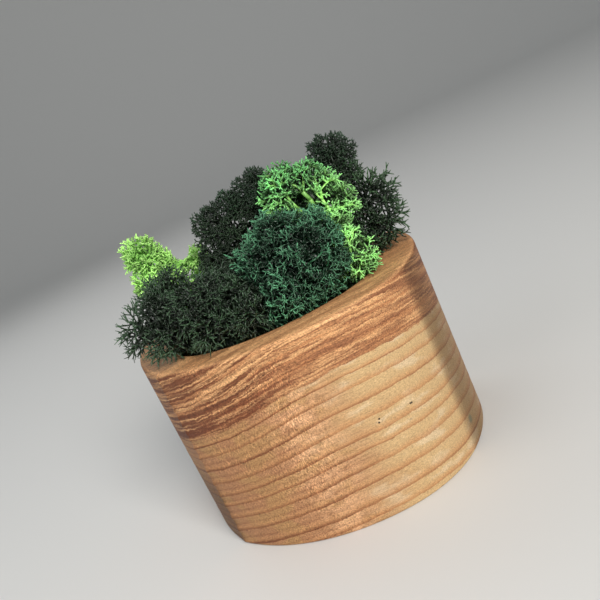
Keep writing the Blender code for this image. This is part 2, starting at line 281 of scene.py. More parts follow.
# %% Mesh helpers
def add_piece(name, points, faces, finish):
    """A mesh object from lists of points and faces."""
    mesh = bpy.data.meshes.new(name)
    mesh.from_pydata(points, [], faces)
    mesh.materials.append(finish)
    return add_object(name, mesh)


def store(piece, attribute, values):
    """Keeps one number for each point of a mesh, for its material to read."""
    kept = piece.data.attributes.new(attribute, "FLOAT", "POINT")
    kept.data.foreach_set("value", np.asarray(values, np.float32))


def stacked_faces(loops, count):
    """The faces of some loops of so many points, from the lowest loop up, with both ends closed."""
    last = (loops - 1) * count
    walls = []
    for base in range(0, last, count):
        for step in range(count):
            after = (step + 1) % count
            walls.append((base + step, base + after, base + count + after, base + count + step))
    return [tuple(range(count))[::-1], *walls, tuple(range(last, last + count))]


def turned_over(face):
    """The same face, seen from its other side."""
    return face[:1] + face[:0:-1]


# %% [markdown]
# ## The block's outline
#
# The block was shaped on a sander, so its wall is smooth all round. The solid has flat facets, and its ring
# of corner points can be read from the frame. A curve through them, whose direction at each point is the
# one of the circle through it and its two neighbours, gives the true rounded wall back at any fineness.
# That is surer than smoothing the solid's faces, because the size stays exact.

# %% Read the outline from the solid
WALL_STEPS = 330
CREASE = np.array((-45.1, -20.8)) * MM
CREASE_REACH = 5 * MM
CREASE_FINENESS = 6
CURVE_SAMPLES = 4001
SAME_HEIGHT = 0.01 * MM
BLOCK_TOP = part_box("wooden_block")[1].z


def corner_loop(node, height):
    """The corners of a node at one height, in order round the middle."""
    corners = {
        (round(v.co.x, 6), round(v.co.y, 6))
        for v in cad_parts[node].data.vertices
        if abs(v.co.z - height) < SAME_HEIGHT
    }
    return np.array(sorted(corners, key=lambda corner: math.atan2(corner[1], corner[0])))


def outer_loop(node, heights):
    """Of the loops at some heights, the one that reaches furthest."""
    return max((corner_loop(node, height) for height in heights), key=lambda loop: np.abs(loop).max())


def rounded_loop(corners, count):
    """Points on the smooth curve through a closed loop of corners, closer together at the crease."""
    chords = np.roll(corners, -1, axis=0) - corners
    lengths = np.linalg.norm(chords, axis=1)
    ways = chords / lengths[:, None]
    before = np.roll(lengths, 1)
    tangents = np.roll(ways, 1, axis=0) * lengths[:, None] + ways * before[:, None]
    tangents /= np.linalg.norm(tangents, axis=1)[:, None]
    starts = np.concatenate([[0], np.cumsum(lengths)])
    crease_at = starts[np.linalg.norm(corners - CREASE, axis=1).argmin()]
    fine = np.linspace(0, starts[-1], CURVE_SAMPLES)
    off = (fine - crease_at + starts[-1] / 2) % starts[-1] - starts[-1] / 2
    share = np.cumsum(1 + CREASE_FINENESS * np.exp(-((off / CREASE_REACH) ** 2)))
    along = np.interp(np.arange(count) / count, (share - share[0]) / (share[-1] - share[0]), fine)
    index = np.clip(np.searchsorted(starts, along, side="right") - 1, 0, len(corners) - 1)
    after = (index + 1) % len(corners)
    span = lengths[index][:, None]
    t = ((along - starts[index]) / lengths[index])[:, None]
    return (
        (2 * t**3 - 3 * t**2 + 1) * corners[index]
        + (t**3 - 2 * t**2 + t) * span * tangents[index]
        + (3 * t**2 - 2 * t**3) * corners[after]
        + (t**3 - t**2) * span * tangents[after]
    )


def loop_facing(loop):
    """The level direction that a loop's wall faces at each of its points."""
    along = np.roll(loop, -1, axis=0) - np.roll(loop, 1, axis=0)
    out = np.stack([along[:, 1], -along[:, 0]], axis=1)
    return out / np.linalg.norm(out, axis=1)[:, None]


solid_heights = {round(v.co.z, 6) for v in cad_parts["wooden_block"].data.vertices}
outline = rounded_loop(outer_loop("wooden_block", solid_heights), WALL_STEPS)
wall_facing = loop_facing(outline)
print("outline of", len(outline), "points,", np.round(np.ptp(outline, axis=0) / MM, 2), "mm")

# %% [markdown]
# ## The wood's year rings
#
# The slab was sawn with its heart side up, so the year rings lie nearly level in it: they show as stripes
# along the front, wrap round the corners, and end on the base. A picture of wood could be laid over the
# block, but the stripes would break at the corners. Here the rings are solid cylinders round the middle of
# the trunk, high above the block, with a slow waver. Each point of the surface gets the number of the ring
# that it is cut through, with the part of the year as the fraction, and both the relief and the colour read
# that one number.

# %% Number the rings
TRUNK_Y, TRUNK_Z = 20 * MM, 243 * MM
FRONT_X, FRONT_Y = 23 * MM, -41 * MM
RING_TILT = 0.045
SLOW_WAVER, SLOW_LENGTH = 1.9 * MM, 34 * MM
QUICK_WAVER, QUICK_LENGTH = 0.35 * MM, 8 * MM
# how much more slowly the wavers change along the depth and the height than along the trunk
SLOW_DEPTH, SLOW_RISE = 0.6, 0.3
QUICK_RISE = 0.5
# heights in mm at which each year ends on the front face, where the wide years below 52.6 are the sapwood
YEAR_ENDS = (
    102, 99, 96, 93, 90, 87, 84, 81, 78, 75.5, 72.6, 70, 67.5, 64.5, 61.5,
    58.5, 55, 52.6, 49, 44.5, 39, 33.5, 28.2, 24, 18.5, 13, 6.5, 2, -4, -9,
)
HEARTWOOD_ENDS = YEAR_ENDS.index(52.6)


def ring_number(point):
    """The year ring at a point, counted outwards from the trunk's middle, as a number with a fraction."""
    x, y, z = point
    from_middle = math.hypot(y - TRUNK_Y, z - TRUNK_Z)
    front_height = TRUNK_Z - math.sqrt(max(from_middle**2 - (FRONT_Y - TRUNK_Y) ** 2, 0))
    slow = noise.noise(Vector((x, y * SLOW_DEPTH, front_height * SLOW_RISE)) / SLOW_LENGTH)
    quick = noise.noise(Vector((x, y, front_height * QUICK_RISE)) / QUICK_LENGTH)
    height = front_height - RING_TILT * (x - FRONT_X) + SLOW_WAVER * slow + QUICK_WAVER * quick
    return float(np.interp(-height / MM, -np.array(YEAR_ENDS), np.arange(len(YEAR_ENDS))))


print("heartwood ends at ring", HEARTWOOD_ENDS, "of", len(YEAR_ENDS))

# %% [markdown]
# ## The block's surface
#
# The wall was brushed after sanding: the soft early wood of each year is worn back a little and the hard
# late wood stands out, most of all at the left corner. A bump map would shade this but leave the corner's
# edge straight, so the relief is real: the mesh has a loop of points every 0.45 mm of height, moved in by
# the part of the year.

# %% Build the block
POCKET_GAP = 0.3 * MM
TOP_ROUND = 1.4 * MM
BASE_ROUND = 1.0 * MM
POCKET_LIP = 0.8 * MM
WALL_ROWS = 150
ROUND_ROWS = 6
RIM_ROWS = 14
POCKET_ROWS = 8
# how deep the brush wore the wall, how much deeper at the crease, and what share of it on the rim
RELIEF = 0.03 * MM
CREASE_RELIEF = 0.3 * MM
CREASE_WIDTH = 5 * MM
RIM_SHARE = 0.6
# how far the edge of the crease stands out, and how wide it is
ARRIS = 0.4 * MM
ARRIS_WIDTH = 2.2 * MM
# the part of the year by which the wear is full, and the part from which it fades again
EARLY_WOOD = 0.12
LATE_WOOD = 0.5
SHARP_EDGE = math.radians(50)

bed_low, bed_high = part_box("foam_bed")
pocket_middle = np.array(((bed_low.x + bed_high.x) / 2, (bed_low.y + bed_high.y) / 2))
pocket_half = np.array(((bed_high.x - bed_low.x) / 2, (bed_high.y - bed_low.y) / 2)) + POCKET_GAP


def pocket_loop(grow):
    """The pocket's oval, with a point facing each point of the outline."""
    spread = (outline - pocket_middle) / pocket_half
    return pocket_middle + spread / np.linalg.norm(spread, axis=1)[:, None] * (pocket_half + grow)


def wear(ring):
    """How far the brush has worn the wood back at a ring number: 1 in early wood, 0 in late wood."""
    part = ring % 1
    early = min(part / EARLY_WOOD, 1.0)
    late = max((part - LATE_WOOD) / (1 - LATE_WOOD), 0.0)
    return early * (1 - late * late * (3 - 2 * late))


def quarter_turn(first):
    """The sine and cosine at each step of a quarter turn, from a numbered step on."""
    turns = [math.pi / 2 * step / ROUND_ROWS for step in range(first, ROUND_ROWS + 1)]
    return [(math.sin(turn), math.cos(turn)) for turn in turns]


def shares(count):
    """So many even steps, the last of which is 1."""
    return [step / count for step in range(1, count + 1)]


def block_rows():
    """The level loops of the block from the base up the wall and over the rim to the foot of the pocket.

    Each is the loop, its height, and how much the brush reached it outwards and upwards.
    """
    wall_top, lip_foot = BLOCK_TOP - TOP_ROUND, BLOCK_TOP - POCKET_LIP
    rows = []
    for sine, cosine in quarter_turn(0):
        rows.append((outline - wall_facing * (BASE_ROUND * (1 - sine)), BASE_ROUND * (1 - cosine), sine, 0))
    for share in shares(WALL_ROWS):
        rows.append((outline, BASE_ROUND + (wall_top - BASE_ROUND) * share, 1, 0))
    for sine, cosine in quarter_turn(1):
        loop = outline - wall_facing * (TOP_ROUND * (1 - cosine))
        rows.append((loop, wall_top + TOP_ROUND * sine, cosine, sine))
    edge, lip = outline - wall_facing * TOP_ROUND, pocket_loop(POCKET_LIP)
    for share in shares(RIM_ROWS):
        rows.append((edge * (1 - share) + lip * share, BLOCK_TOP, 0, 1))
    for sine, cosine in quarter_turn(1):
        rows.append((pocket_loop(POCKET_LIP * (1 - sine)), BLOCK_TOP - POCKET_LIP * (1 - cosine), 0, 0))
    for share in shares(POCKET_ROWS):
        rows.append((pocket_loop(0), lip_foot * (1 - share) + (bed_low.z - POCKET_GAP) * share, 0, 0))
    return rows


def block_points(rows):
    """The points of the brushed block, and the ring number of each."""
    points, rings = [], []
    for loop, height, out, up in rows:
        for (x, y), (out_x, out_y) in zip(loop, wall_facing):
            ring = ring_number((x, y, height))
            apart = math.hypot(x - CREASE[0], y - CREASE[1])
            depth = (RELIEF + CREASE_RELIEF * math.exp(-((apart / CREASE_WIDTH) ** 2))) * wear(ring)
            depth -= ARRIS * math.exp(-apart / ARRIS_WIDTH)
            points.append((x - out_x * depth * out, y - out_y * depth * out, height - depth * up * RIM_SHARE))
            rings.append(ring)
    return points, rings


wood = Recipe("brushed_wood")
rows = block_rows()
points, rings = block_points(rows)
faces = stacked_faces(len(rows), WALL_STEPS)
block = add_piece("carved_block", points, faces, wood.material)
store(block, "year_ring", rings)
store(block, "side_facing", np.tile(np.abs(wall_facing[:, 0]), len(rows)))
block.data.shade_smooth()
block.data.set_sharp_from_angle(angle=SHARP_EDGE)
print("block of", len(faces), "faces")

# %% [markdown]
# ## The wood's rings and streaks
#
# All of the colour is worked out in solid space, so it runs on round every corner. The line of a year isn't
# straight: fibres fray it and a slow wander bends it, more in the heartwood than in the sapwood. Streaks
# that follow the rings are noise read at a place made of the ring number and the place along the trunk.
# What the next steps share is kept with the recipe.

# %% Read the rings
# the part of the year at which its dark line is over
LINE_ENDS = 0.97
ramp, blend, times = wood.ramp, wood.blend, wood.times
plus, between = wood.plus, wood.between


def along_rings(ring, fineness, length, detail, roughness=0.5):
    """Noise in streaks that follow the rings: how fine across them, and how long along them in mm."""
    place = {0: times(ring, fineness)}
    place[1] = wood.math("DIVIDE", wood.x, length)
    place[2] = wood.math("DIVIDE", wood.y, length)
    return wood.noise_at(wood.node("ShaderNodeCombineXYZ", place).outputs[0], detail, roughness)


def read_rings():
    """Keeps the places, the part of the year, how far inside the heartwood it is, and the streaks."""
    wood.x, wood.y, wood.z = wood.axes()
    number = wood.value("year_ring")
    wood.fibre = wood.noise((9, 0.28, 0.28), 3, 0.6)
    wander = wood.swing(wood.noise((7, 1.6, 1.6), 2))
    wood.boundary = plus(number, wander, 0.9)
    wood.inside = ramp(wood.boundary, HEARTWOOD_ENDS + 0.12, HEARTWOOD_ENDS - 0.12)
    frayed = between(wood.inside, 0.14, 0.46)
    ragged = plus(number, wood.swing(wood.fibre), frayed)
    wood.ragged = plus(ragged, wander, times(frayed, 1.1))
    wood.part = wood.math("FRACT", wood.ragged)
    year = wood.math("FLOOR", wood.ragged)
    wood.chance = wood.node("ShaderNodeTexWhiteNoise", {"W": year}, noise_dimensions="1D").outputs[0]
    wood.closing = ramp(wood.part, 1.0, LINE_ENDS)
    wood.reach = ramp(along_rings(year, 3.0, 30, 1), 0.3, 0.65, 0.5, 1.0)
    wood.narrow = along_rings(wood.ragged, 4.5, 26, 3, 0.55)
    wood.tan = ramp(plus(wood.x, wood.noise((22, 22, 14), 1), -30.0), 8, -28)


read_rings()
print("rings read with", len(wood.tree.nodes), "nodes")

# %% [markdown]
# ## Sapwood and heartwood
#
# Sapwood is pale straw at the right and tan at the left, with milky streaks and faint green and peach
# patches, and each year in it darkens slowly to a thin brown line. Heartwood has the same years in red
# brown with stronger lines, and the darkest ones lie where it meets the sapwood. On the rim it is paler.
# The two colours could be painted by height, but the border follows a ring, so it is blended by the ring
# number.

# %% Colour the sapwood
SAP_PALE = (0.57, 0.385, 0.19)
SAP_MILKY = (0.72, 0.58, 0.39)
SAP_TAN = (0.392, 0.192, 0.090)
SAP_PEACH = (0.74, 0.42, 0.225)
SAP_GREENISH = (0.44, 0.27, 0.098)
SAP_ORANGE = (0.50, 0.245, 0.10)
SAP_LINE = (0.24, 0.092, 0.038)
HEART_RED = (0.155, 0.046, 0.019)


def sapwood():
    tan, part = wood.tan, wood.part
    sap = blend(tan, SAP_PALE, SAP_TAN)
    green = times(ramp(wood.noise((11, 11, 8), 1), 0.46, 0.62), tan, 0.42)
    sap = blend(green, sap, SAP_GREENISH)
    peach = times(wood.bell(wood.x, -6, 10), ramp(wood.noise((5, 5, 3), 3), 0.30, 0.66), 0.7)
    sap = blend(peach, sap, SAP_PEACH)
    milky = ramp(along_rings(wood.ragged, 1.3, 12, 2), 0.52, 0.68, 0.0, 0.45)
    sap = blend(times(milky, ramp(tan, 1.0, 0.2)), sap, SAP_MILKY)
    late = times(ramp(part, 0.42, 0.92), wood.closing, 0.72)
    sap = blend(late, sap, SAP_ORANGE)
    faint_line = times(wood.bell(part, 0.45, 0.07), between(tan, 0.08, 0.30))
    line = times(ramp(part, between(tan, 0.82, 0.70), 0.95), wood.closing)
    strength = ramp(wood.chance, 0, 1, between(tan, 0.35, 0.65), between(tan, 0.75, 1.0))
    line = wood.math("MAXIMUM", times(line, strength), faint_line)
    line = times(line, wood.math("MAXIMUM", wood.reach, times(tan, 0.85)))
    return blend(line, sap, blend(tan, SAP_LINE, HEART_RED))


# %% Colour the heartwood
HEART_PALE = (0.74, 0.41, 0.185)
HEART_MID = (0.46, 0.205, 0.085)
HEART_BROWN = (0.27, 0.112, 0.05)
HEART_LINE = (0.085, 0.028, 0.014)


def heartwood():
    left = ramp(wood.x, 2, -22)
    dark = blend(left, HEART_BROWN, HEART_RED)
    wide = along_rings(wood.ragged, 1.5, 34, 3, 0.55)
    heart = blend(ramp(wide, 0.38, 0.62), HEART_PALE, HEART_MID)
    streaks = ramp(wood.narrow, between(left, 0.45, 0.44), between(left, 0.60, 0.56))
    heart = blend(times(streaks, 0.95), heart, dark)
    late = wood.math("POWER", ramp(wood.part, 0.40, LINE_ENDS, smooth=False), 1.7)
    line = plus(times(late, 0.4), ramp(wood.part, 0.80, LINE_ENDS), 0.6)
    line = times(line, wood.closing, between(wood.chance, 0.45, 1.0), wood.reach)
    heart = blend(line, heart, blend(left, HEART_RED, HEART_LINE))
    border = ramp(wood.boundary, HEARTWOOD_ENDS - 2.6, HEARTWOOD_ENDS - 1.0)
    border = times(border, ramp(wood.x, 35, -20, 0.25, 1.0))
    border = times(border, ramp(wood.narrow, 0.34, 0.54, 0.3, 1.0), 0.85)
    heart = blend(border, heart, dark)
    rim = times(ramp(wood.z, 68.9, 69.8), 0.42)
    return blend(rim, heart, HEART_PALE)


colour = blend(wood.inside, sapwood(), heartwood())
print("two kinds of wood with", len(wood.tree.nodes), "nodes")

# %% [markdown]
# ## Grain, painted shade on the ends, and marks
#
# Fine fibres and pores run along the trunk, and short bright flecks lie across it where the rays were cut,
# most of them in two zones on the front. Both ends of the block are painted a tone darker, as painted shade
# on the sides that turn away from the key lamp, most of all at the right corner, and a painted shadow
# darkens the foot of the left end. A few pits and one small knot finish it, and the pits are dark dots of
# painted shade in place of tiny holes. All of these are too small or too flat to be shapes, so they are
# colour, and the fibres and flecks a fine bump.

# %% Add the grain
# middle of a fleck zone along the front in mm, its half width, and its heights from and to
FLECK_ZONES = ((-33, 6, 30, 72), (-11, 7, 16, 66))
FLECK_STRENGTH = 4.0
DARKEST_FLECK = -0.16


def fleck_light():
    """How much lighter or darker the flecks make the wood."""
    zones = 0.0
    for middle, width, lowest, highest in FLECK_ZONES:
        zone = times(wood.bell(wood.x, middle, width), ramp(wood.z, lowest - 5, lowest + 5))
        zones = plus(zones, times(zone, ramp(wood.z, highest + 3, highest - 3)))
    zones = times(zones, ramp(wood.y, -18, -26))
    patches = ramp(wood.noise((5, 5, 4), 2), 0.34, 0.58, 0.25, 1.0)
    zones = times(patches, plus(zones, ramp(wood.x, 15, -15, 0.12, 0.34)))
    strokes = wood.swing(wood.noise((0.26, 0.26, 1.2), 2))
    return wood.math("MAXIMUM", times(strokes, zones, FLECK_STRENGTH), DARKEST_FLECK)


pores = ramp(wood.noise((2.0, 0.15, 0.15), 1), 0.60, 0.74)
colour = blend(times(pores, between(wood.inside, 0.22, 0.5)), colour, HEART_RED)
flecks = fleck_light()
speckle = wood.swing(wood.noise((0.62, 0.36, 0.36), 2))
coarse = wood.math("MAXIMUM", times(wood.tan, 1.9), between(wood.inside, 0.9, 1.9))
grain = plus(plus(1.0, wood.swing(wood.fibre), 0.8), speckle, coarse)
colour = wood.lit(colour, plus(grain, flecks))
print(len(FLECK_ZONES), "zones of flecks")

# %% Paint shade on the ends and add the marks
# painted shade: what the ends multiply the colour by, darkest at the right corner, with a painted shadow at
# the foot of the left end
RIGHT_CORNER_SHADE = (0.44, 0.41, 0.38)
RIGHT_END_SHADE = (0.62, 0.55, 0.52)
LEFT_END_SHADE = (0.86, 0.86, 0.86)
LEFT_FOOT_SHADOW = (0.42, 0.38, 0.33)
# places of the pits and of the knot in mm
PITS = (
    (15.1, -44.0, 33.0), (14.6, -44.0, 31.9), (26.7, -40.5, 31.7), (26.2, -40.8, 31.8),
    (45.8, -13.8, 70), (33.1, -23.9, 70), (51.7, 0.7, 70),
)
# painted shade: the pits are dark dots in place of tiny holes that aren't modelled
PIT_SHADE = (0.06, 0.04, 0.025)
KNOT = (44.3, -25.2, 9.5)
KNOT_COLOUR = (0.12, 0.115, 0.07)
WOOD_GLOSS = 0.25

sideways = wood.value("side_facing")
# painted shade on the sides that turn away from the key lamp, none on the rim and fading towards the back
ends = times(ramp(sideways, 0.73, 0.84), ramp(wood.z, 69.9, 69.0), ramp(wood.y, 30, 2))
right_end_shade = blend(ramp(sideways, 0.86, 0.98), RIGHT_CORNER_SHADE, RIGHT_END_SHADE)
# painted shadow low on the left end, near its front
foot = times(ramp(wood.z, 34, 18), ramp(wood.y, 10, -8))
left_end_shade = blend(foot, LEFT_END_SHADE, LEFT_FOOT_SHADOW)
colour = blend(ends, colour, blend(ramp(wood.x, -5, 5), left_end_shade, right_end_shade), "MULTIPLY")
# painted shade of the pits
for pit in PITS:
    colour = blend(ramp(wood.distance(pit), 0.45, 0.25), colour, PIT_SHADE)
colour = blend(ramp(wood.distance(KNOT), 2.1, 0.7, 0, 0.85), colour, KNOT_COLOUR)
wood.set("Base Color", colour)
wood.set("Specular IOR Level", WOOD_GLOSS)
wood.set("Roughness", ramp(wood.fibre, 0.3, 0.7, 0.62, 0.48, smooth=False))
wood.set("Normal", wood.bump(plus(plus(wood.fibre, pores, -0.6), flecks), 0.12 * MM, 0.6))
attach(block, "root")
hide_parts("wooden_block")
print("wood finished with", len(wood.tree.nodes), "nodes")

# %% [markdown]
# ## The foam bed
#
# The stems are pushed into a bed of dry foam. Almost all of it lies under the moss, and where a gap lets it
# show, it is a dull green surface full of tiny open cells. A mesh with its own dents makes those cells; a
# bump would lie flat at the edge. The dents are also painted darker the deeper they are, as painted shade.
# The bed has the outline and height of its solid.

# %% Build the foam bed
BED_RINGS = 40
BED_STEPS = 160
CELL_DEPTH = 0.5 * MM
CELL_SIZE = 1.3 * MM
# how quickly a cell gets shallower away from its middle
CELL_SLOPE = 1.8
FOAM_DARK = (0.02, 0.03, 0.012)
FOAM_LIGHT = (0.085, 0.11, 0.05)
FOAM_ROUGHNESS = 0.95
# each loop's share of the bed's half width, and how far down the side it lies
BED_LOOPS = [((index + 0.5) / BED_RINGS, 0) for index in range(BED_RINGS)] + [(1, 0.15), (1, 1)]


def foam_points():
    """A drum with a dented top, from the middle of the top outwards and down the side."""
    half = pocket_half - POCKET_GAP
    points, pits = [], []
    for share, down in BED_LOOPS:
        for step in range(BED_STEPS):
            turn = 2 * math.pi * step / BED_STEPS
            x, y = pocket_middle + half * share * np.array((math.cos(turn), math.sin(turn)))
            cell = noise.voronoi(Vector((x, y, 0)) / CELL_SIZE)[0][0]
            pit = max(0.0, 1 - cell * CELL_SLOPE) if down == 0 else 0.0
            points.append((x, y, bed_high.z + (bed_low.z - bed_high.z) * down - CELL_DEPTH * pit))
            pits.append(pit)
    return points, pits


foam_recipe = Recipe("foam")
points, pits = foam_points()
# the bed's loops run down instead of up, so its faces are turned over
faces = [turned_over(face) for face in stacked_faces(len(BED_LOOPS), BED_STEPS)]
foam = add_piece("foam_block", points, faces, foam_recipe.material)
store(foam, "pit", pits)
crumbs = foam_recipe.noise((0.5, 0.5, 0.5), 3)
# painted shade: the deeper a cell's dent, the darker it is painted
crumbs_and_cell_shade = foam_recipe.math("SUBTRACT", crumbs, foam_recipe.value("pit"))
foam_recipe.set("Base Color", foam_recipe.blend(foam_recipe.ramp(crumbs_and_cell_shade, 0.0, 0.7), FOAM_DARK, FOAM_LIGHT))
foam_recipe.set("Normal", foam_recipe.bump(crumbs, 0.3 * MM))
foam_recipe.set("Roughness", FOAM_ROUGHNESS)
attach(foam, "root")
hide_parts("foam_bed")
print("foam bed of", len(faces), "faces")

# %% [markdown]
# ## Where the moss grows
#
# Each tuft is a few rounded heads on one stem, and the solids hold the same heads. The list repeats their
# middles and radii in mm, because the frame only has the finished surface. Three small heads are added
# where the teal tuft leans on its neighbours, and five are moved by up to two millimetres, so that the fine
# twigs end where the real ones do. Where two heads or two tufts press on each other, every point belongs to
# the one that it is deepest in, which keeps the tufts apart as they are in the pocket.

# %% List the heads
TUFT_HEADS = {
    "tuft_front_left_black_green": (
        (-23, -12, 75, 9.5), (-21, -18, 83.5, 12.5), (-34, -15, 82.5, 11.5), (-41.5, -14, 82.6, 8),
        (-10, -22, 80, 9.5), (-33, -2, 86.3, 10.3), (-14, -5, 80, 10.5), (-19, -23, 77.5, 9),
        (-33, -12, 77, 8.5), (-8, -26, 77, 8.5),
    ),
    "tuft_front_teal": (
        (9, -14, 75, 10), (7, -23, 80.5, 10.5), (16, -21, 85.5, 12.5), (11, -17, 92, 10.5),
        (3, -18, 88, 9.5), (22, -21, 80, 7.5), (5, -5, 86, 10), (6, -26.5, 76.5, 8.5),
        (17, -23, 78, 9), (23.5, -17, 88, 7), (-1, -26, 75, 6), (21.1, -17.5, 92.7, 6),
    ),
    "tuft_bright_green": (
        (27, -5, 75, 8), (28, -4, 86, 9), (28, -3, 94, 8.5), (26.4, -3, 101.3, 10), (20, -4, 103.8, 9.8),
        (34.3, -4, 92.2, 6.8), (31, -16, 79.5, 6.5), (31, -18, 75.5, 6), (30, -14, 86.5, 5.5),
    ),
    "tuft_back_left_dark_green": (
        (-8, 8, 74, 10.5), (-8, 9, 83, 11), (-9, 8, 90, 11), (-7, 11, 100.5, 10), (-1, 9, 95, 9),
        (6, 8, 93, 9), (1, 12, 104.5, 7.8), (8, 11, 101.5, 8.5), (10, 13, 108, 8),
    ),
    "tuft_top_right_dark_green": (
        (30, 14.5, 73, 8.5), (34, 17, 82, 8.5), (37, 18, 91, 8.5), (42, 19, 98, 7.8), (41, 19, 106.5, 9),
    ),
    "tuft_right_dark_green": ((35.5, 3, 74, 9), (45, 3, 79, 8.5), (45.5, 8, 87.5, 10), (39, 9, 90, 8)),
    "tuft_back_left_lime": (
        (-26, 14, 73, 9.5), (-31, 16, 83, 9), (-36, 19, 92, 8), (-41, 19, 92, 5),
        (-38, 19, 102, 8.2), (-30.5, 20, 94, 6), (-21, 20, 93, 5), (-21, 20, 80, 9.5),
    ),
    "tuft_back_green": (
        (14, 19, 74, 11), (16, 22, 84, 11.5), (27, 23, 77, 10), (2, 25, 79, 11),
        (-11, 26, 77.5, 10), (14, 27, 75, 8.5), (17, 22, 95, 9), (21, 10, 85, 9),
    ),
}
HEADS = {name: np.array(heads, float) * MM for name, heads in TUFT_HEADS.items()}
BED_TOP = bed_high.z
RIM_CLEARANCE = 0.45 * MM
TUFT_CLEARANCE = 0.3 * MM
print(sum(len(heads) for heads in HEADS.values()), "heads in", len(HEADS), "tufts")


def depth_outside(balls, points):
    """How far each point lies outside each ball, negative inside it: one row for each point."""
    return np.linalg.norm(points[:, None, :] - balls[None, :, :3], axis=2) - balls[None, :, 3]


def open_points(name, points, clearance=TUFT_CLEARANCE):
    """Which points are in this tuft's own space: clear of the other tufts, the foam and the wood."""
    own = depth_outside(HEADS[name], points).min(axis=1)
    free = points[:, 2] > BED_TOP + RIM_CLEARANCE
    for other in HEADS:
        if other != name:
            free &= depth_outside(HEADS[other], points).min(axis=1) - own > clearance
    spread = (points[:, :2] - pocket_middle) / (pocket_half - RIM_CLEARANCE)
    in_pocket = (spread**2).sum(axis=1) < 1
    return free & (in_pocket | (points[:, 2] > BLOCK_TOP + RIM_CLEARANCE))


# %% [markdown]
# ## From the tips to the stem
#
# A head of reindeer moss is a crowd of small bushes, and each bush forks again and again until it ends in
# short splayed prongs. It could be grown from the stem by rules, but then the tips land anywhere. Here it
# is built the other way round, like a river from its springs: the tips are spread evenly over small balls
# that cover the head, neighbours are gathered to a fork a little further in, the forks are gathered again,
# and so on down to the stem. The outline stays where the heads have it, and every twig is joined to its
# tuft.

# %% Gather tips to forks
GOLDEN_TURN = math.pi * (3 - math.sqrt(5))
TINY = 1e-9
TWIG_PARTS = ("start", "end", "start_radius", "end_radius", "inner", "outer", "tone")


def even_directions(count, draw):
    """Unit vectors spread evenly over a ball, in a random turn."""
    index = np.arange(count) + 0.5
    level = 1 - 2 * index / count
    around = GOLDEN_TURN * index
    flat = np.sqrt(1 - level**2)
    spread = np.stack([flat * np.cos(around), flat * np.sin(around), level], axis=1)
    turn, _ = np.linalg.qr(draw.normal(size=(3, 3)))
    return spread @ turn


def gather(points, spacing, draw):
    """Groups neighbouring points: for each point, the number of its group."""
    apart = np.linalg.norm(points[:, None] - points[None], axis=2)
    seeds = []
    for index in draw.permutation(len(points)):
        if not seeds or apart[index, seeds].min() > spacing:
            seeds.append(index)
    return apart[:, seeds].argmin(axis=1)


def unit(vectors):
    return vectors / np.maximum(np.linalg.norm(vectors, axis=-1, keepdims=True), TINY)


class Twigs:
    """A growing list of straight twigs: both ends, both radii, the forks in from the tips, and the tone."""

    def __init__(self):
        self.rows = {part: [] for part in TWIG_PARTS}

    def add(self, *values):
        """Adds a row for each start. A value that is the same for all of them may be given once."""
        count = len(values[0])
        for part, value in zip(TWIG_PARTS, values):
            shape = (count, 3) if part in ("start", "end") else (count,)
            self.rows[part].append(np.broadcast_to(np.asarray(value, float), shape))

    def arrays(self):
        return {part: np.concatenate(values) for part, values in self.rows.items()}


# %% [markdown]
# A bush is gathered in rounds. Each round moves its forks further in, by a step that grows, and thickens
# them, as the real twigs thicken towards the stem. A middle point set a little to one side bends the longer
# twigs.

# %% Grow one bush
FORK_SPACING = 1.75
STEP_GROWTH = 1.5
TWIG_GROWTH = 1.3
SIDEWAYS = 0.1
# the share of the way to the base that a fork goes at most, and its scatter as a share of the step
LONGEST_STEP = 0.75
FORK_SCATTER = 0.12


def bent_twigs(twigs, start, end, start_radius, end_radius, inner, outer, tone, draw):
    """Twigs in two straight parts, with the middle moved a little to one side."""
    length = np.linalg.norm(end - start, axis=1)[:, None]
    middle = (start + end) / 2 + draw.normal(size=start.shape) * length * SIDEWAYS
    middle_radius = (start_radius + end_radius) / 2
    middle_depth = (np.asarray(inner) + np.asarray(outer)) / 2
    twigs.add(start, middle, start_radius, middle_radius, inner, middle_depth, tone)
    twigs.add(middle, end, middle_radius, end_radius, middle_depth, outer, tone)


def grow_bush(twigs, tips, base, habit, tone, draw):
    """Gathers tips in rounds until one branch or two are left, which run to the base."""
    points, depth, step = tips, np.zeros(len(tips)), habit["step"] * MM
    spacing, thick = habit["spacing"] * MM, habit["radius"] * MM
    while True:
        spacing *= FORK_SPACING
        groups = gather(points, spacing, draw)
        count = groups.max() + 1
        members = np.bincount(groups, minlength=count)[:, None]
        sums = [np.bincount(groups, points[:, axis], count) for axis in range(3)]
        middle = np.stack(sums, axis=1) / members
        inward = base - middle
        left = np.linalg.norm(inward, axis=1)[:, None]
        parents = middle + inward * np.minimum(step / np.maximum(left, TINY), LONGEST_STEP)
        parents += draw.normal(size=parents.shape) * step * FORK_SCATTER
        parent_depth = np.full(count, depth.max() + 1.0)
        thicker = thick * TWIG_GROWTH
        inner = parent_depth[groups]
        bent_twigs(twigs, parents[groups], points, thicker, thick, inner, depth, tone, draw)
        points, depth, thick = parents, parent_depth, thicker
        step *= STEP_GROWTH
        if count <= 2 or left.min() < 2 * step:
            break
    ends = np.repeat(base[None], len(points), axis=0)
    bent_twigs(twigs, ends, points, thick * TWIG_GROWTH, thick, depth + 1, depth, tone, draw)


# %% [markdown]
# Each tip opens three times more: into short twigs that lean well outwards, so that they cross their
# neighbours and make a net, then again, and then into small spikes, splayed like the toes of a bird. These
# rounds are what shows of the moss from outside. A twig is left out if its end would come near the wood or
# the foam, or lie over 0.9 mm deeper in a neighbour than in its own tuft. Real tufts interlock like that at
# their edges too.

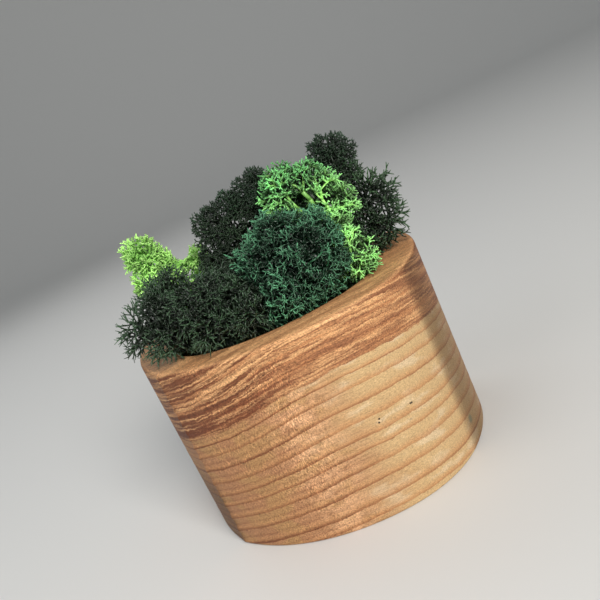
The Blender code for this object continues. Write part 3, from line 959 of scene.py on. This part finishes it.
# %% Add the last forks
TURN_SPREAD = 0.35
TWIG_TONE = 0.22
REACHES = (0.5, 1.5)
SUNK_RADII = 0.5
# of each round: the twigs' length, their thickness at both ends, and the forks in from the tips there.
# In the last one they are spikes, which end as thick as the habit's blunt says.
LAST_ROUNDS = ((1.0, 1.15, 1.05, 0.0, -0.4), (0.8, 1.05, 0.95, -0.4, -0.8), (0.62, 0.95, None, -0.8, -1.2))


def fork(twigs, starts, ahead, most, length, splay, radii, depths, tone, clear, draw):
    """Two or more short twigs from each start, turned evenly round the direction ahead.

    Returns the ends, directions and tones of the new twigs.
    """
    side = unit(np.cross(ahead, draw.normal(size=ahead.shape)))
    other = np.cross(ahead, side)
    numbers = draw.integers(2, most + 1, len(starts))
    first_turn = draw.uniform(0, 2 * math.pi, len(starts))
    found = []
    for index in range(most):
        has = numbers > index
        turn = first_turn + 2 * math.pi * index / numbers + draw.normal(size=len(starts)) * TURN_SPREAD
        turn = turn[has][:, None]
        lean = draw.uniform(*splay, has.sum())[:, None]
        aside = side[has] * np.cos(turn) + other[has] * np.sin(turn)
        way = ahead[has] * np.cos(lean) + aside * np.sin(lean)
        ends = starts[has] + way * (draw.uniform(*REACHES, has.sum())[:, None] * length)
        tones = np.broadcast_to(tone, len(starts))[has] + draw.normal(size=has.sum()) * TWIG_TONE
        kept = clear(ends)
        sunk = starts[has] - way * radii[0] * SUNK_RADII
        twigs.add(sunk[kept], ends[kept], *radii, *depths, tones[kept])
        found.append((ends[kept], way[kept], tones[kept]))
    return tuple(np.concatenate(parts) for parts in zip(*found))


def add_tips(twigs, tips, ahead, habit, tone, clear, draw):
    """The last rounds of forks on the tips of a bush."""
    radius, length = habit["radius"] * MM, habit["prong"] * MM
    ahead = unit(ahead + draw.normal(size=ahead.shape) * habit["stray"])
    for reach, thick, thin, inner, outer in LAST_ROUNDS:
        most, splay = habit["forks"], habit["splay"]
        if thin is None:
            most, splay, thin = habit["spikes"], habit["toes"], habit["blunt"]
        if len(tips):
            shape = most, length * reach, splay, (radius * thick, radius * thin), (inner, outer)
            tips, ahead, tone = fork(twigs, tips, ahead, *shape, tone, clear, draw)


# %% [markdown]
# ## The habits of the tufts
#
# Every tuft has its own habit: how far apart its tips stand, how long and how splayed the last twigs are,
# and how strongly its heads are broken up into bushes. The dark tuft in front is spiky, the teal one is a
# curly net, the one that leans over the right rim has long bare spikes, and the bright one is coarse and
# open. Patches of tips are left out where a slow noise is low, because the real tufts have holes that show
# dark. The largest openings, and the bare branches that cross them, are listed one by one.

# %% Describe the tufts
# The words of a habit, with lengths in mm:
# spacing and reach: how far apart the tips of a bush are, and how far out, as shares of its radius
# bush: the radius of a bush, as a share of its head's
# step and radius: how far in the first forks lie, and the radius of the outermost twigs
# prong, splay and toes: the length of the last twigs, and how far they and the spikes lean, in radians
# forks and spikes: the most twigs at each of the last forks, and the most spikes
# blunt and stray: what thickness a spike keeps, and how far a tip turns from straight out
# holes: the noise below which no tips grow
# tangle and bough: how many dead twigs fill a head, and the radius of the branch to it
PLAIN_HABIT = dict(
    spacing=2.9, reach=(0.60, 0.88), bush=0.48, step=1.4, radius=0.21, prong=1.1, splay=(0.4, 1.0),
    toes=(0.3, 0.8), forks=3, spikes=3, blunt=0.0, stray=0.2, holes=-0.30, tangle=1.6, bough=1.7,
)
HABITS = {
    "tuft_front_left_black_green": dict(
        spacing=3.6, reach=(0.45, 0.92), bush=0.60, step=2.1, radius=0.25, prong=2.2, stray=0.55,
        splay=(0.25, 0.85), toes=(0.3, 0.75), spikes=2, blunt=0.35, holes=-0.24,
    ),
    "tuft_front_teal": dict(
        spacing=3.4, prong=1.55, splay=(0.5, 1.25), toes=(0.4, 1.0), spikes=2, radius=0.235,
        blunt=0.45, reach=(0.55, 0.86), holes=-0.16,
    ),
    "tuft_bright_green": dict(
        spacing=3.9, prong=1.55, splay=(0.45, 1.05), spikes=2, radius=0.32, blunt=0.6, step=1.7,
        reach=(0.55, 0.85), holes=-0.22,
    ),
    "tuft_right_dark_green": dict(
        spacing=4.0, reach=(0.40, 0.92), prong=2.4, splay=(0.25, 0.8), toes=(0.3, 0.7), radius=0.34,
        blunt=0.4, step=2.3, forks=2, spikes=2, holes=-0.12, tangle=0.8, bough=1.2,
    ),
    "tuft_top_right_dark_green": dict(spacing=3.1, prong=1.3, splay=(0.5, 1.15), radius=0.24, holes=-0.25),
    "tuft_back_left_dark_green": dict(spacing=2.75, prong=1.0, radius=0.2),
    "tuft_back_left_lime": dict(spacing=2.7, prong=1.0, radius=0.27, holes=-0.4, bough=1.0),
    "tuft_back_green": dict(spacing=3.6, prong=1.4, radius=0.25),
}
SLOTS = {
    "tuft_front_left_black_green": "moss_black_green",
    "tuft_front_teal": "moss_teal_green",
    "tuft_bright_green": "moss_bright_green",
    "tuft_back_left_dark_green": "moss_dark_green",
    "tuft_top_right_dark_green": "moss_dark_green",
    "tuft_right_dark_green": "moss_dark_green",
    "tuft_back_left_lime": "moss_lime_green",
    "tuft_back_green": "moss_teal_green",
}
# larger openings where the inside of a tuft shows: middle and half size in mm
HOLLOWS = {
    "tuft_back_left_lime": (((-24.6, 20, 97.6), (3.2, 9, 3.2)),),
    "tuft_bright_green": (
        ((24.6, -11, 101.2), (5.8, 8, 4.6)),
        ((33, -20, 88), (2.2, 8, 2.5)),
        ((33.5, -19, 80), (1.6, 6, 1.6)),
        ((38.2, -6, 84), (3.9, 14, 4.6)),
    ),
    "tuft_front_teal": (
        ((17.5, -31, 86.2), (3.4, 5, 1.9)),
        ((20.5, -29, 82.5), (2.8, 5, 1.7)),
        ((10, -31, 84), (1.8, 4, 1.5)),
        ((24, -27, 86), (1.8, 5, 1.6)),
    ),
}
# bare branches that cross the openings: their points in mm and the radius at both ends
BARE_BRANCHES = {
    "tuft_bright_green": (
        (((27.0, -5, 93.5), (26.2, -7.5, 96.2), (25.5, -9.2, 99.4), (24.2, -10, 102.6)), 0.90, 0.70),
        (((24.4, -10, 102.6), (23.5, -10.5, 104.7), (22.0, -10.5, 106.2)), 0.52, 0.40),
        (((24.4, -10, 102.6), (25.6, -9.4, 104.6), (26.6, -8.6, 106.8)), 0.52, 0.40),
        (((21.6, -7, 95), (20.5, -10, 98.4), (19.5, -11, 100.8), (18.8, -11.2, 103.6)), 0.68, 0.45),
        (((33.2, -7, 86), (31.8, -9, 89.7), (30.7, -10.5, 92.6), (29.5, -11.5, 95.4)), 0.66, 0.56),
        (((29.5, -11.5, 95.4), (29.1, -11.5, 97.8), (29.8, -11, 100.7), (29.6, -10.5, 103.4)), 0.56, 0.42),
        (((30.7, -10.5, 92.6), (32.8, -11, 92.9), (35.5, -10.5, 92.2), (37.6, -9.5, 91.8)), 0.46, 0.34),
        (((29.1, -11.5, 97.8), (28.2, -12, 99.6), (28.0, -11.5, 101.2)), 0.40, 0.30),
        (((29.8, -11, 100.7), (32.1, -11, 101.8), (33.8, -10.5, 102.2)), 0.42, 0.32),
        (((29.6, -19, 76), (29.8, -21, 79.3), (30.5, -21.3, 82.6), (30.7, -20, 85.2)), 0.48, 0.38),
        (((29.7, -21, 78.3), (32, -21.5, 77.2), (34.3, -21, 75.8), (36, -20.5, 75.2)), 0.36, 0.28),
        (((30.5, -21.3, 82.6), (32.4, -21, 84.0), (33.2, -20.5, 85.4)), 0.34, 0.28),
    ),
    "tuft_front_teal": (
        (((13, -24, 80), (12.2, -29, 83.5), (12.6, -30.5, 86.6), (13.6, -30.5, 89)), 0.5, 0.34),
        (((14, -24, 82), (16, -29.5, 84.2), (18.5, -30.5, 84.6), (21, -29, 85.4)), 0.42, 0.32),
        (((20, -24, 79), (21, -28.5, 81), (22.6, -28.5, 83.2), (23.4, -27, 85.6)), 0.4, 0.3),
    ),
}
print(len(HABITS), "habits,", sum(len(found) for found in HOLLOWS.values()), "openings placed")

# %% [markdown]
# ## Bushes and tips
#
# A head is covered with bushes, each a ball that touches the head's outside from within. Tips are kept
# where they show: not facing into the head, not buried in a neighbour, and not in a hole or an opening.

# %% Spread the bushes and tips
BUSH_SIZES = (0.85, 1.15)
BUSHES = 8
FEWEST_TIPS = 8
TIP_PACKING = 0.85
# how far back a tip may face, how deep in a neighbour it may lie, and the share of other heads kept clear
BACKWARDS = -0.25
BURIED = 0.5 * MM
HEAD_MIDDLE = 0.8
HOLE_SIZE = 5 * MM


def bushes_on_head(share):
    """How many bushes cover a head, when each has this share of its radius."""
    return int(round(BUSHES / share**2 * (1 - share) ** 2))


def bushes_of(name, habit, draw):
    """The bushes of a tuft, as rows of centre and radius, with the number of each one's head."""
    balls, owners = [], []
    share = habit["bush"]
    count = bushes_on_head(share)
    for number, head in enumerate(HEADS[name]):
        sizes = head[3] * share * draw.uniform(*BUSH_SIZES, count)
        places = head[:3] + even_directions(count, draw) * (head[3] - sizes)[:, None]
        balls.append(np.column_stack([places, sizes]))
        owners.append(np.full(count, number))
    return np.concatenate(balls), np.concatenate(owners)


def outside_hollows(name, points):
    """Which points lie in none of the tuft's larger openings."""
    outside = np.ones(len(points), bool)
    for middle, half in HOLLOWS.get(name, ()):
        outside &= (((points / MM - middle) / half) ** 2).sum(axis=1) > 1
    return outside


def tips_of(name, number, bushes, owners, habit, draw):
    """The tips on one bush that aren't in a hole or buried in another bush, head or tuft."""
    centre, size = bushes[number, :3], bushes[number, 3]
    head = HEADS[name][owners[number]]
    spacing = habit["spacing"] * MM
    ways = even_directions(max(FEWEST_TIPS, int(4 * math.pi * size**2 / spacing**2 / TIP_PACKING)), draw)
    tips = centre + ways * (size * draw.uniform(*habit["reach"], len(ways)))[:, None]
    keep = ways @ unit(centre - head[:3]) > BACKWARDS
    depths = depth_outside(bushes, tips)
    keep &= depths.min(axis=1) >= np.minimum(depths[:, number], 0) - BURIED
    others = depth_outside(np.delete(HEADS[name], owners[number], axis=0) * (1, 1, 1, HEAD_MIDDLE), tips)
    keep &= others.min(axis=1) > 0
    keep &= np.array([noise.noise(Vector(tip) / HOLE_SIZE) for tip in tips]) > habit["holes"]
    keep &= outside_hollows(name, tips)
    keep[keep] = open_points(name, tips[keep])
    return tips[keep]


print("bushes on a plain head:", bushes_on_head(PLAIN_HABIT["bush"]))

# %% [markdown]
# ## One tuft
#
# The bushes stand on branches inside their head, and boughs join the heads down to the stem. Seen from
# outside, little of that shows, but light would come through an empty middle. Real tufts have a felt of
# dead twigs there, so short crossing twigs fill it, which is lighter than growing every bush through to its
# stem.

# %% Put a tuft together
MOSS_SEED = 41
# the last twigs' distance from other tufts, negative so that they may reach into a neighbour's edge
TIP_CLEARANCE = -0.9 * MM
# the fork numbers given to the felt and the stem, and the tone of both
FELT_DEPTH = 8.0
STEM_DEPTH = 7.0
MIDDLE_TONE = 0.5
# the shares of a head's radius in which the felt starts and ends, and the power that spreads it out
FELT_REACH = 0.68
FELT_EVENNESS = 0.4
FELT_LIMIT = 0.75
FELT_LENGTH = 4 * MM
FELT_RADII = (0.5 * MM, 0.35 * MM)
# radii at both ends of the branch to a bush and of the stem, the share of the way to a bush's middle at
# which its own branches start, how much thinner a bough gets, and how deep the stem stands in the foam
BRANCH_RADII = (1.3 * MM, 0.9 * MM)
STEM_RADII = (1.9 * MM, 1.8 * MM)
BUSH_BASE = 0.3
BOUGH_TAPER = 0.8
STEM_IN_FOAM = 15 * MM
# the fork number that marks a bare branch, how far it is sunk in, its tone and its tips' tone, and how far
# the forks along it lean out and how long they are
BARE_DEPTH = 1.25
BARE_SUNK = 0.4
BARE_TONE = 0.9
BARE_TIP_TONE = 0.8
BARE_LEAN = 1.6
BARE_PRONG = 0.7


def add_tangle(twigs, name, habit, draw):
    """Short dead twigs that cross each other in the middle of every head, so that it isn't see-through."""
    for x, y, z, radius in HEADS[name]:
        count = int(habit["tangle"] * (radius / MM) ** 2)
        ways = unit(draw.normal(size=(count, 3)))
        starts = ways * (radius * FELT_REACH * draw.uniform(0, 1, count) ** FELT_EVENNESS)[:, None] + (x, y, z)
        ends = starts + unit(draw.normal(size=(count, 3))) * FELT_LENGTH
        inside = open_points(name, starts) & open_points(name, ends)
        inside &= outside_hollows(name, starts) & outside_hollows(name, ends)
        inside &= np.linalg.norm(ends - (x, y, z), axis=1) < radius * FELT_LIMIT
        twigs.add(starts[inside], ends[inside], *FELT_RADII, FELT_DEPTH, FELT_DEPTH, MIDDLE_TONE)


def add_bare_branches(twigs, name, habit, clear, draw):
    """The branches that cross the openings, each with a few forks along it and at its end."""
    for path, first, last in BARE_BRANCHES.get(name, ()):
        places = np.array(path) * MM
        radii = np.linspace(first, last, len(places)) * MM
        ways = unit(np.diff(places, axis=0))
        sunk = places[:-1] - ways * radii[:-1, None] * BARE_SUNK
        twigs.add(sunk, places[1:], radii[:-1], radii[1:], BARE_DEPTH, BARE_DEPTH, BARE_TONE)
        add_tips(twigs, places[-1:], ways[-1:], habit, BARE_TIP_TONE, clear, draw)
        middles = (places[1:-1] + places[2:]) / 2
        aside = unit(np.cross(ways[1:], draw.normal(size=(len(middles), 3))))
        shorter = habit | {"prong": habit["prong"] * BARE_PRONG}
        add_tips(twigs, middles, unit(ways[1:] + aside * BARE_LEAN), shorter, BARE_TIP_TONE, clear, draw)


def grow_tuft(name, draw):
    """All twigs of a tuft, and its bushes: tips, bushes, a bough to each head, the felt, and the stem."""
    habit = PLAIN_HABIT | HABITS[name]
    twigs = Twigs()
    heads = HEADS[name][:, :3]
    bushes, owners = bushes_of(name, habit, draw)

    def clear(points):
        return open_points(name, points, TIP_CLEARANCE)

    def clear_of_hollows(points):
        return clear(points) & outside_hollows(name, points)

    for number, bush in enumerate(bushes):
        tips = tips_of(name, number, bushes, owners, habit, draw)
        if len(tips) < 2:
            continue
        centre = heads[owners[number]]
        base = centre + (bush[:3] - centre) * BUSH_BASE
        tone = float(draw.uniform())
        grow_bush(twigs, tips, base, habit, tone, draw)
        add_tips(twigs, tips, unit(tips - base), habit, tone, clear_of_hollows, draw)
        twigs.add(centre[None], base[None], *BRANCH_RADII, 6.0, 5.0, tone)
    bough = habit["bough"] * MM
    for number in range(1, len(heads)):
        nearest = np.linalg.norm(heads[:number] - heads[number], axis=1).argmin()
        parent = heads[nearest][None]
        twigs.add(parent, heads[number][None], bough, bough * BOUGH_TAPER, STEM_DEPTH, 6.0, MIDDLE_TONE)
    add_tangle(twigs, name, habit, draw)
    add_bare_branches(twigs, name, habit, clear, draw)
    foot = np.array((heads[0, 0], heads[0, 1], BED_TOP - STEM_IN_FOAM))
    twigs.add(foot[None], heads[:1], *STEM_RADII, FELT_DEPTH, STEM_DEPTH, MIDDLE_TONE)
    return twigs.arrays(), bushes


# %% [markdown]
# ## Twigs as a mesh
#
# A curve with a round bevel for each twig would be heavy. A twig is only half a millimetre thick, so three
# sides with smooth shading are enough, and all the twigs of a tuft are made in one go with arrays. Each is
# a closed tube, or a closed cone if it ends in a point, sunk into the one that it grows from.

# %% Turn twigs into tubes
THIN = 0.6 * MM
THICK_SIDES = 7
THIN_SIDES = 3
# above this share of upright, a twig's sides are counted from the x axis instead of from the z axis
UPRIGHT = 0.8


def tubes(rows, chosen, sides, pointed=False):
    """Closed tubes or cones for the chosen twigs: their points, triangles, depths and tones."""
    rows = {part: values[chosen] for part, values in rows.items()}
    ahead = unit(rows["end"] - rows["start"])
    helper = np.where(np.abs(ahead[:, 2:]) < UPRIGHT, [[0, 0, 1.0]], [[1.0, 0, 0]])
    side = unit(np.cross(ahead, helper))
    other = np.cross(ahead, side)
    turns = 2 * math.pi * np.arange(sides) / sides
    ring = side[:, None] * np.cos(turns)[None, :, None] + other[:, None] * np.sin(turns)[None, :, None]
    first = rows["start"][:, None] + ring * rows["start_radius"][:, None, None]
    last = rows["end"][:, None] + ring * rows["end_radius"][:, None, None]
    around = np.arange(sides)
    after = (around + 1) % sides
    cap = np.stack([np.full(sides - 2, 0), around[2:], around[1:-1]], axis=1)
    if pointed:
        last = last[:, :1]
        faces = [np.stack([around, after, np.full(sides, sides)], axis=1), cap]
    else:
        walls = (around, after, sides + after), (around, sides + after, sides + around)
        faces = [*(np.stack(wall, axis=1) for wall in walls), cap, cap[:, ::-1] + sides]
    points = np.concatenate([first, last], axis=1)
    count, size = points.shape[:2]
    faces = np.concatenate(faces)[None] + (np.arange(count) * size)[:, None, None]
    depths = np.repeat(np.column_stack([rows["inner"], rows["outer"]]), [sides, size - sides], axis=1)
    return points.reshape(-1, 3), faces.reshape(-1, 3), depths.reshape(-1), np.repeat(rows["tone"], size)


def twig_mesh(rows):
    """All twigs of a tuft as points, triangles and their stored numbers."""
    pointed = rows["end_radius"] == 0
    thick = rows["start_radius"] > THIN
    parts = [
        tubes(rows, pointed, THIN_SIDES, pointed=True),
        tubes(rows, ~pointed & ~thick, THIN_SIDES),
        tubes(rows, ~pointed & thick, THICK_SIDES),
    ]
    points, faces, depths, tones = zip(*parts)
    starts = np.cumsum([0] + [len(part) for part in points[:-1]])
    faces = [part + start for part, start in zip(faces, starts)]
    return tuple(np.concatenate(part) for part in (points, faces, depths, tones))


def triangle_piece(name, points, faces, finish):
    """A mesh object from arrays, much faster than one face at a time."""
    mesh = bpy.data.meshes.new(name)
    mesh.vertices.add(len(points))
    mesh.vertices.foreach_set("co", points.astype(np.float32).ravel())
    mesh.loops.add(len(faces) * 3)
    mesh.loops.foreach_set("vertex_index", faces.astype(np.int32).ravel())
    mesh.polygons.add(len(faces))
    mesh.polygons.foreach_set("loop_start", np.arange(len(faces), dtype=np.int32) * 3)
    mesh.update(calc_edges=True)
    mesh.shade_smooth()
    mesh.materials.append(finish)
    return add_object(name, mesh)


# %% [markdown]
# ## The moss's colours
#
# The moss was dyed whole. Its thin tips took a deep, cool dye, and the thick branches keep more of the yellow
# plant. The shade in the middle of a tuft is painted. So each twig carries two numbers: how many forks it is
# in from the tips, which turns it from the tip's hue to the branch's, and how many mm it lies below the
# outside of its tuft, which paints it darker as painted shade. A stored tone shifts each bush and each of the
# last twigs, and a fine noise mottles them. On the bright tuft the left flank is painted lighter, as painted
# light. Preserving leaves the twigs moist, so they shine a little.

# %% Dye the moss and paint its shade
# middle is the colour of the painted shade inside, and fade the depth in mm at which a third of the outer
# colour is left. shine is how much the twigs reflect, crown how far they turn deeper green with the height,
# and the flank number how much lighter the moss is painted at the left, as painted light.
DYES_AND_SHADE = {
    "moss_black_green": dict(
        tip=(0.043, 0.089, 0.043), branch=(0.018, 0.050, 0.018), middle=(0.008, 0.018, 0.007), fade=1.05
    ),
    "moss_teal_green": dict(
        tip=(0.094, 0.285, 0.148), branch=(0.034, 0.155, 0.064), middle=(0.004, 0.024, 0.009), fade=1.1,
        crown=0.5,
    ),
    "moss_bright_green": dict(
        tip=(0.332, 0.755, 0.230), branch=(0.340, 0.730, 0.165), middle=(0.005, 0.040, 0.004), fade=1.05,
        shine=0.85, lit_flank=1.45,
    ),
    "moss_dark_green": dict(
        tip=(0.036, 0.080, 0.032), branch=(0.019, 0.052, 0.017), middle=(0.010, 0.022, 0.009), fade=1.3
    ),
    "moss_lime_green": dict(
        tip=(0.560, 0.950, 0.290), branch=(0.500, 0.900, 0.220), middle=(0.140, 0.400, 0.070), fade=2.8,
        shine=0.3, crown=0.0,
    ),
}
# heights in mm between which the tips turn to a deeper green, and how that changes their red, green and blue
CROWN_HEIGHTS = (98, 109)
CROWN_TINT = (0.47, 0.66, 0.67)
# places in mm along the front between which the moss is painted lighter towards the left, as painted light
LIT_FLANK_PLACES = (22, 14)
MOSS_ROUGHNESS = 0.4
# for the painted shade: what is added to a point's depth in its tuft in mm, how much of it a bare branch
# counts, and how much of the depth is measured in the bush and how much in the head
SUNK_START = 0.6
BARE_SHADE = 0.2
BUSH_SHARE, HEAD_SHARE = 0.6, 0.4
# in how many parts the points are measured, which saves memory
PARTS = 12


def dyed_and_shaded_moss(name, tip, branch, middle, fade, shine=0.7, crown=1.0, lit_flank=1.0):
    moss = Recipe(name)
    x, _, z = moss.axes()
    deeper = tuple(part * change for part, change in zip(tip, CROWN_TINT))
    tip = moss.blend(moss.ramp(z, *CROWN_HEIGHTS, 0, crown), tip, deeper)
    dye = moss.blend(moss.ramp(moss.value("depth"), -1.1, 0.2), tip, branch)
    mottle = moss.plus(moss.value("tone"), moss.noise((1.6, 1.6, 1.6), 2), 0.9)
    light = moss.ramp(mottle, 0.1, 1.7, 0.4, 1.6, smooth=False)
    # painted light: the bright tuft is painted lighter at its left flank
    dye = moss.lit(dye, moss.times(light, moss.ramp(x, *LIT_FLANK_PLACES, 1, lit_flank)))
    # painted shade: the deeper a point lies in its tuft, the more its colour turns to the inner colour
    outside = moss.math("EXPONENT", moss.math("DIVIDE", moss.value("sunk"), -fade))
    moss.set("Base Color", moss.blend(outside, middle, dye))
    moss.set("Roughness", MOSS_ROUGHNESS)
    moss.set("Specular IOR Level", shine)
    moss.set("Normal", moss.bump(moss.noise((0.4, 0.4, 0.4), 1), 0.08 * MM, 0.5))
    return moss.material


def sunk_depth(name, points, bushes):
    """How many mm each point lies below the outside of its bush and head, taken together, for the painted
    shade.
    """
    below = [
        -BUSH_SHARE * depth_outside(bushes, part).min(axis=1)
        - HEAD_SHARE * depth_outside(HEADS[name], part).min(axis=1)
        for part in np.array_split(points, PARTS)
    ]
    return np.maximum(np.concatenate(below) / MM + SUNK_START, 0)


DYED_AND_SHADED = {name: dyed_and_shaded_moss(name, **dye) for name, dye in DYES_AND_SHADE.items()}
print(len(DYED_AND_SHADED), "dyes")

# %% Grow every tuft
total = 0
for number, name in enumerate(HEADS):
    rows, bushes = grow_tuft(name, np.random.default_rng(MOSS_SEED + number))
    points, faces, depths, tones = twig_mesh(rows)
    tuft = triangle_piece("moss_" + name.removeprefix("tuft_"), points, faces, DYED_AND_SHADED[SLOTS[name]])
    store(tuft, "depth", depths)
    store(tuft, "tone", tones)
    # the depth below the tuft's outside sets the painted shade, and bare branches get only a share of it
    store(tuft, "sunk", sunk_depth(name, points, bushes) * np.where(depths == BARE_DEPTH, BARE_SHADE, 1))
    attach(tuft, "root")
    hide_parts(name)
    total += len(faces)
    print(tuft.name, len(rows["tone"]), "twigs", len(faces), "triangles")
print("moss:", total, "triangles")

# %% [markdown]
# ## Done
#

# %% Done
print("planter built")
